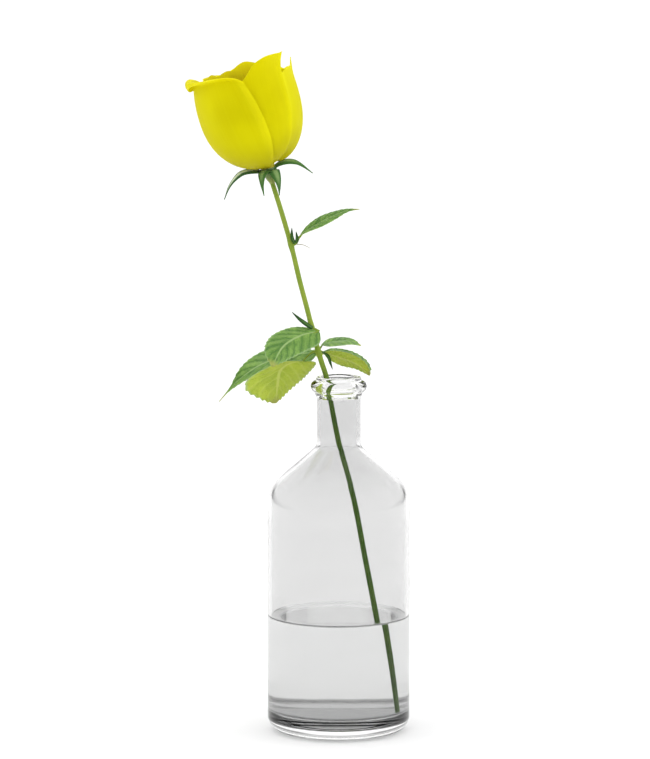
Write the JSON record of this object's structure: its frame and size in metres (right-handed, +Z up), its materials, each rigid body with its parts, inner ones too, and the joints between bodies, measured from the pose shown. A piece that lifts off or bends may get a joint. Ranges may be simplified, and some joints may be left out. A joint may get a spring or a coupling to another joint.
{
  "type": "rose in a bottle vase",
  "caption": "Single cut rose with a cupped double bloom on a slender leaning stem, standing in a little water in a round clear glass bottle with a beaded neck.",
  "frame": {"origin": "centre of the bottle's foot, on the surface it stands on", "axes": "+Z up along the bottle's axis, +X to the right and +Y to the back, so that the flower leans towards -X and +Y"},
  "size_m": [0.1146, 0.0947, 0.3453],
  "materials": {
    "glass": "clear, polished",
    "water": "clear liquid",
    "stem": "smooth green bark, satin",
    "leaf": "grey-green above, pale olive below, satin",
    "calyx": "green, slightly downy",
    "petal": "bright yellow, soft satin"
  },
  "bodies": {
    "root": {"bottle": "glass", "water": "water", "stem": "stem", "leaf_upper": "leaf", "leaf_middle": "leaf", "leaf_lower": "leaf", "calyx": "calyx", "outer_petal_front_left": "petal", "outer_petal_front_right": "petal", "outer_petal_right": "petal", "outer_petal_back": "petal", "outer_petal_back_left": "petal", "inner_petals": "petal"}
  },
  "joints": []
}
